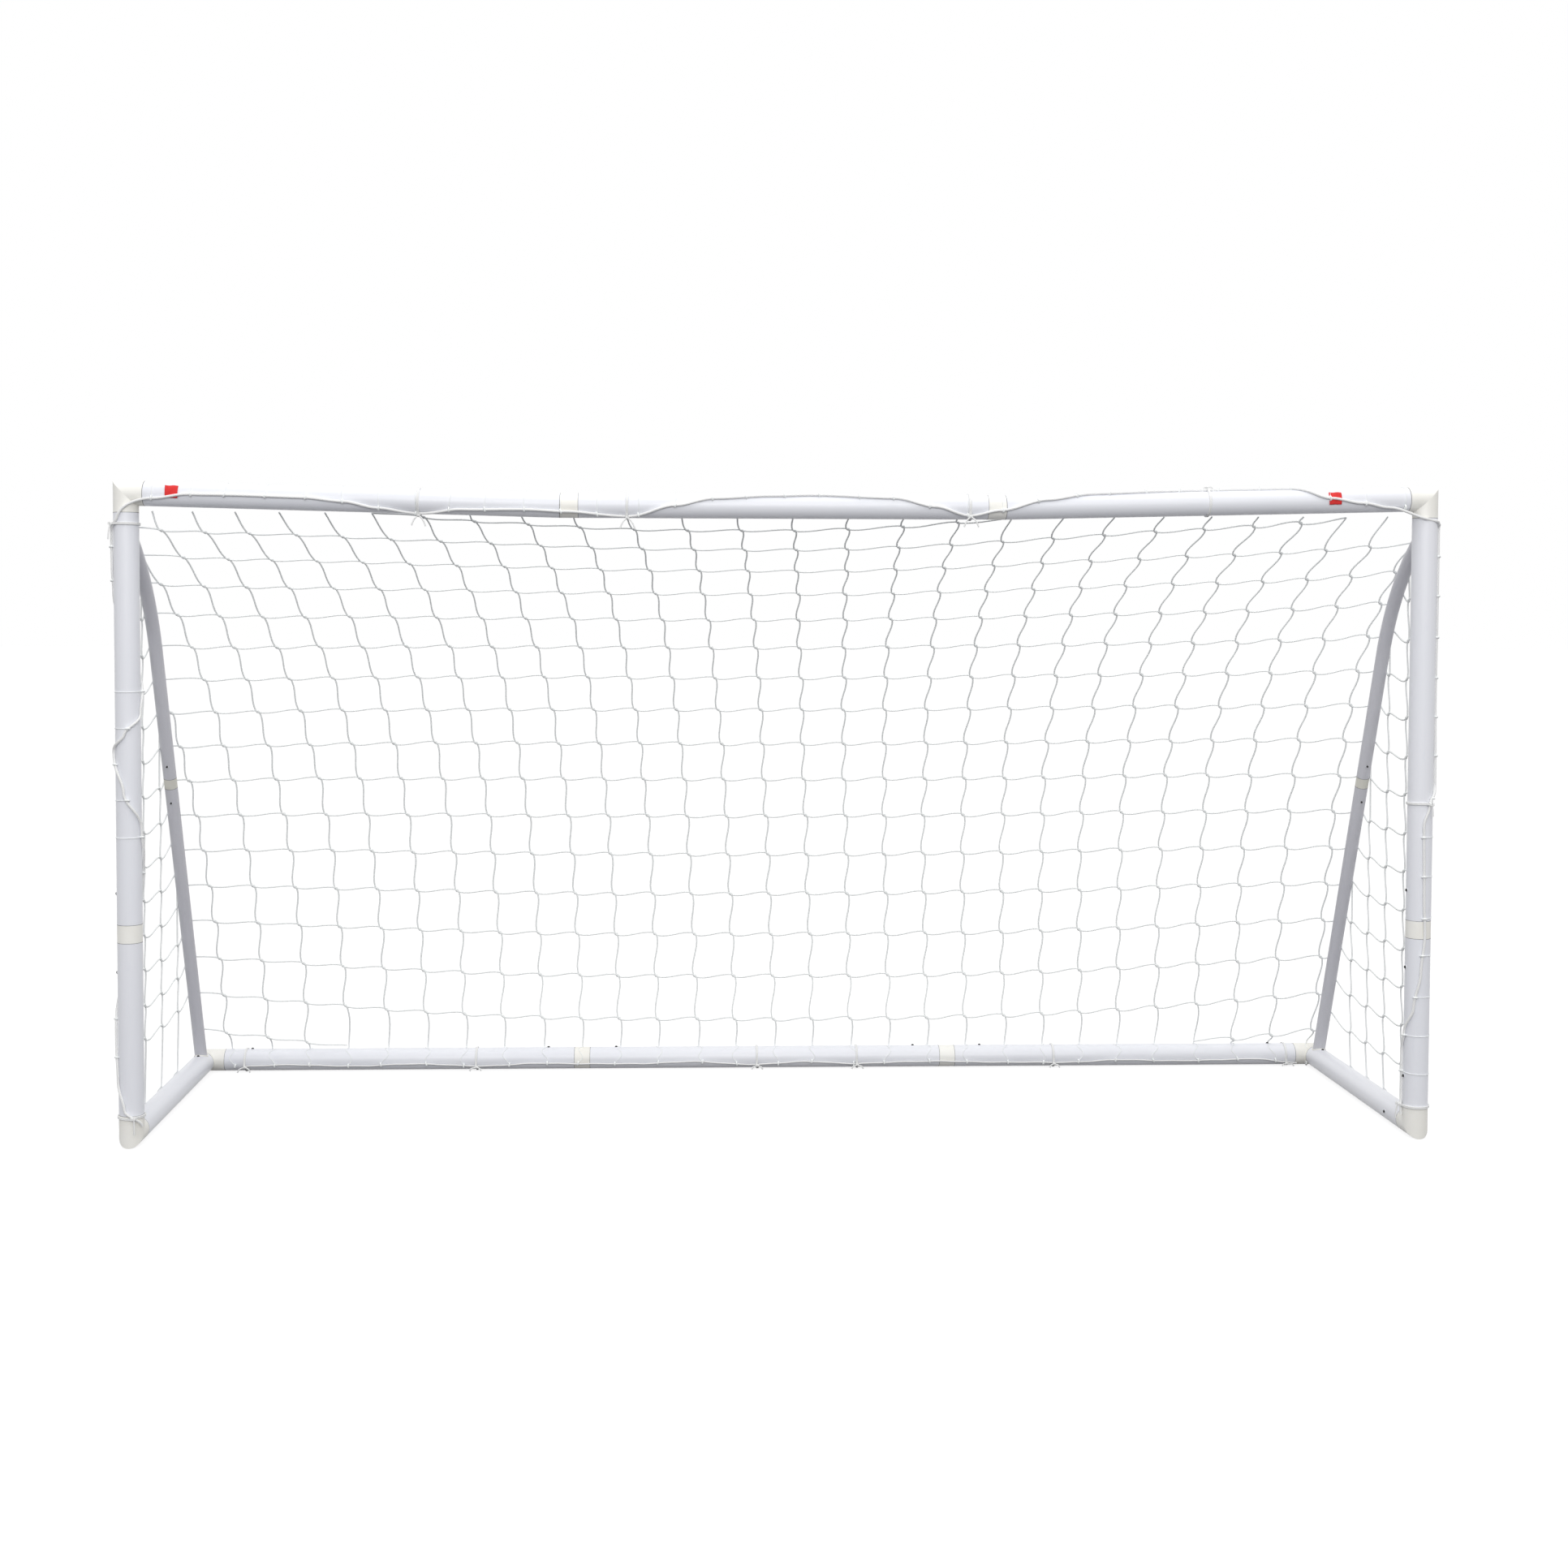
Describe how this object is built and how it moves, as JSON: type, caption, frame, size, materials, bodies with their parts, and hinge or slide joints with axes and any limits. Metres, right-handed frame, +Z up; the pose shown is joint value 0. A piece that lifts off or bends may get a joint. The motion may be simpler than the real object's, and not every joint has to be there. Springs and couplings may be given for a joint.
{
  "type": "soccer goal",
  "caption": "Free-standing soccer goal of push-fit white tubes with moulded corners, ground bars, slanting rear braces, snap buttons and a laced square-mesh net.",
  "frame": {"origin": "on the ground, half-way across and half-way from the front to the back", "axes": "+X along the crossbar to the right as seen from the field, +Y from the mouth back to the rear bar, +Z up"},
  "size_m": [3.6884, 0.9143, 1.83],
  "materials": {
    "tube_white": "semi-gloss extruded uPVC",
    "brace_white": "semi-gloss extruded uPVC",
    "moulded_cream": "satin moulded plastic",
    "button_black": "moulded black plastic",
    "clip_steel": "bright spring steel",
    "net_twine": "knotted polyethylene twine",
    "border_rope": "braided white rope",
    "red_cloth": "woven red cloth"
  },
  "bodies": {
    "frame": {"crossbar_tube_left": "tube_white", "crossbar_tube_middle": "tube_white", "crossbar_tube_right": "tube_white", "crossbar_couplers": "moulded_cream", "left_top_corner": "moulded_cream", "right_top_corner": "moulded_cream", "left_post_upper_tube": "tube_white", "right_post_upper_tube": "tube_white", "left_post_lower_tube": "tube_white", "right_post_lower_tube": "tube_white", "post_couplers": "moulded_cream", "left_foot_corner": "moulded_cream", "right_foot_corner": "moulded_cream", "left_side_bar": "tube_white", "right_side_bar": "tube_white", "left_rear_corner": "moulded_cream", "right_rear_corner": "moulded_cream", "rear_bar_tube_left": "tube_white", "rear_bar_tube_middle": "tube_white", "rear_bar_tube_right": "tube_white", "rear_bar_couplers": "moulded_cream", "left_stanchion_lower": "brace_white", "right_stanchion_lower": "brace_white", "left_stanchion_upper": "brace_white", "right_stanchion_upper": "brace_white", "stanchion_couplers": "moulded_cream", "clip_springs": "clip_steel", "net_back_left": "net_twine", "net_back_right": "net_twine", "net_sides": "net_twine", "border_rope": "border_rope", "rope_tags": "red_cloth"},
    "left_post_foot_button": {"button_left_post_foot": "button_black"},
    "left_post_lower_button": {"button_left_post_lower": "button_black"},
    "left_post_upper_button": {"button_left_post_upper": "button_black"},
    "left_post_top_button": {"button_left_post_top": "button_black"},
    "left_side_front_button": {"button_left_side_front": "button_black"},
    "left_side_rear_button": {"button_left_side_rear": "button_black"},
    "left_rear_corner_button": {"button_left_rear_corner": "button_black"},
    "left_rear_outer_button": {"button_left_rear_outer": "button_black"},
    "left_rear_inner_button": {"button_left_rear_inner": "button_black"},
    "left_crossbar_corner_button": {"button_left_crossbar_corner": "button_black"},
    "left_crossbar_outer_button": {"button_left_crossbar_outer": "button_black"},
    "left_crossbar_inner_button": {"button_left_crossbar_inner": "button_black"},
    "left_stanchion_lower_button": {"button_left_stanchion_lower": "button_black"},
    "left_stanchion_upper_button": {"button_left_stanchion_upper": "button_black"},
    "right_post_foot_button": {"button_right_post_foot": "button_black"},
    "right_post_lower_button": {"button_right_post_lower": "button_black"},
    "right_post_upper_button": {"button_right_post_upper": "button_black"},
    "right_post_top_button": {"button_right_post_top": "button_black"},
    "right_side_front_button": {"button_right_side_front": "button_black"},
    "right_side_rear_button": {"button_right_side_rear": "button_black"},
    "right_rear_corner_button": {"button_right_rear_corner": "button_black"},
    "right_rear_outer_button": {"button_right_rear_outer": "button_black"},
    "right_rear_inner_button": {"button_right_rear_inner": "button_black"},
    "right_crossbar_corner_button": {"button_right_crossbar_corner": "button_black"},
    "right_crossbar_outer_button": {"button_right_crossbar_outer": "button_black"},
    "right_crossbar_inner_button": {"button_right_crossbar_inner": "button_black"},
    "right_stanchion_lower_button": {"button_right_stanchion_lower": "button_black"},
    "right_stanchion_upper_button": {"button_right_stanchion_upper": "button_black"}
  },
  "joints": [
    {"name": "left_post_foot_press", "type": "slide", "parent": "frame", "child": "left_post_foot_button", "axis": [1, 0, 0], "range_m": [0, 0.007], "stiffness_N_per_m": 800, "springref_m": -0.003},
    {"name": "left_post_lower_press", "type": "slide", "parent": "frame", "child": "left_post_lower_button", "axis": [1, 0, 0], "range_m": [0, 0.007], "stiffness_N_per_m": 800, "springref_m": -0.003},
    {"name": "left_post_upper_press", "type": "slide", "parent": "frame", "child": "left_post_upper_button", "axis": [1, 0, 0], "range_m": [0, 0.007], "stiffness_N_per_m": 800, "springref_m": -0.003},
    {"name": "left_post_top_press", "type": "slide", "parent": "frame", "child": "left_post_top_button", "axis": [0.867, -0.4983, 0], "range_m": [0, 0.007], "stiffness_N_per_m": 800, "springref_m": -0.003},
    {"name": "left_side_front_press", "type": "slide", "parent": "frame", "child": "left_side_front_button", "axis": [1, 0, 0], "range_m": [0, 0.007], "stiffness_N_per_m": 800, "springref_m": -0.003},
    {"name": "left_side_rear_press", "type": "slide", "parent": "frame", "child": "left_side_rear_button", "axis": [0, 0, -1], "range_m": [0, 0.007], "stiffness_N_per_m": 800, "springref_m": -0.003},
    {"name": "left_rear_corner_press", "type": "slide", "parent": "frame", "child": "left_rear_corner_button", "axis": [0, 0, -1], "range_m": [0, 0.007], "stiffness_N_per_m": 800, "springref_m": -0.003},
    {"name": "left_rear_outer_press", "type": "slide", "parent": "frame", "child": "left_rear_outer_button", "axis": [0, 0, -1], "range_m": [0, 0.007], "stiffness_N_per_m": 800, "springref_m": -0.003},
    {"name": "left_rear_inner_press", "type": "slide", "parent": "frame", "child": "left_rear_inner_button", "axis": [0, 0, -1], "range_m": [0, 0.007], "stiffness_N_per_m": 800, "springref_m": -0.003},
    {"name": "left_crossbar_corner_press", "type": "slide", "parent": "frame", "child": "left_crossbar_corner_button", "axis": [0, -1, 0], "range_m": [0, 0.007], "stiffness_N_per_m": 800, "springref_m": -0.003},
    {"name": "left_crossbar_outer_press", "type": "slide", "parent": "frame", "child": "left_crossbar_outer_button", "axis": [0, -1, 0], "range_m": [0, 0.007], "stiffness_N_per_m": 800, "springref_m": -0.003},
    {"name": "left_crossbar_inner_press", "type": "slide", "parent": "frame", "child": "left_crossbar_inner_button", "axis": [0, -1, 0], "range_m": [0, 0.007], "stiffness_N_per_m": 800, "springref_m": -0.003},
    {"name": "left_stanchion_lower_press", "type": "slide", "parent": "frame", "child": "left_stanchion_lower_button", "axis": [0, 0.9373, 0.3485], "range_m": [0, 0.006], "stiffness_N_per_m": 800, "springref_m": -0.003},
    {"name": "left_stanchion_upper_press", "type": "slide", "parent": "frame", "child": "left_stanchion_upper_button", "axis": [0, 0.9373, 0.3485], "range_m": [0, 0.006], "stiffness_N_per_m": 800, "springref_m": -0.003},
    {"name": "right_post_foot_press", "type": "slide", "parent": "frame", "child": "right_post_foot_button", "axis": [1, 0, 0], "range_m": [0, 0.007], "stiffness_N_per_m": 800, "springref_m": -0.003},
    {"name": "right_post_lower_press", "type": "slide", "parent": "frame", "child": "right_post_lower_button", "axis": [1, 0, 0], "range_m": [0, 0.007], "stiffness_N_per_m": 800, "springref_m": -0.003},
    {"name": "right_post_upper_press", "type": "slide", "parent": "frame", "child": "right_post_upper_button", "axis": [1, 0, 0], "range_m": [0, 0.007], "stiffness_N_per_m": 800, "springref_m": -0.003},
    {"name": "right_post_top_press", "type": "slide", "parent": "frame", "child": "right_post_top_button", "axis": [-0.867, -0.4983, 0], "range_m": [0, 0.007], "stiffness_N_per_m": 800, "springref_m": -0.003},
    {"name": "right_side_front_press", "type": "slide", "parent": "frame", "child": "right_side_front_button", "axis": [1, 0, 0], "range_m": [0, 0.007], "stiffness_N_per_m": 800, "springref_m": -0.003},
    {"name": "right_side_rear_press", "type": "slide", "parent": "frame", "child": "right_side_rear_button", "axis": [0, 0, -1], "range_m": [0, 0.007], "stiffness_N_per_m": 800, "springref_m": -0.003},
    {"name": "right_rear_corner_press", "type": "slide", "parent": "frame", "child": "right_rear_corner_button", "axis": [0, 0, -1], "range_m": [0, 0.007], "stiffness_N_per_m": 800, "springref_m": -0.003},
    {"name": "right_rear_outer_press", "type": "slide", "parent": "frame", "child": "right_rear_outer_button", "axis": [0, 0, -1], "range_m": [0, 0.007], "stiffness_N_per_m": 800, "springref_m": -0.003},
    {"name": "right_rear_inner_press", "type": "slide", "parent": "frame", "child": "right_rear_inner_button", "axis": [0, 0, -1], "range_m": [0, 0.007], "stiffness_N_per_m": 800, "springref_m": -0.003},
    {"name": "right_crossbar_corner_press", "type": "slide", "parent": "frame", "child": "right_crossbar_corner_button", "axis": [0, -1, 0], "range_m": [0, 0.007], "stiffness_N_per_m": 800, "springref_m": -0.003},
    {"name": "right_crossbar_outer_press", "type": "slide", "parent": "frame", "child": "right_crossbar_outer_button", "axis": [0, -1, 0], "range_m": [0, 0.007], "stiffness_N_per_m": 800, "springref_m": -0.003},
    {"name": "right_crossbar_inner_press", "type": "slide", "parent": "frame", "child": "right_crossbar_inner_button", "axis": [0, -1, 0], "range_m": [0, 0.007], "stiffness_N_per_m": 800, "springref_m": -0.003},
    {"name": "right_stanchion_lower_press", "type": "slide", "parent": "frame", "child": "right_stanchion_lower_button", "axis": [0, 0.9373, 0.3485], "range_m": [0, 0.006], "stiffness_N_per_m": 800, "springref_m": -0.003},
    {"name": "right_stanchion_upper_press", "type": "slide", "parent": "frame", "child": "right_stanchion_upper_button", "axis": [0, 0.9373, 0.3485], "range_m": [0, 0.006], "stiffness_N_per_m": 800, "springref_m": -0.003}
  ]
}
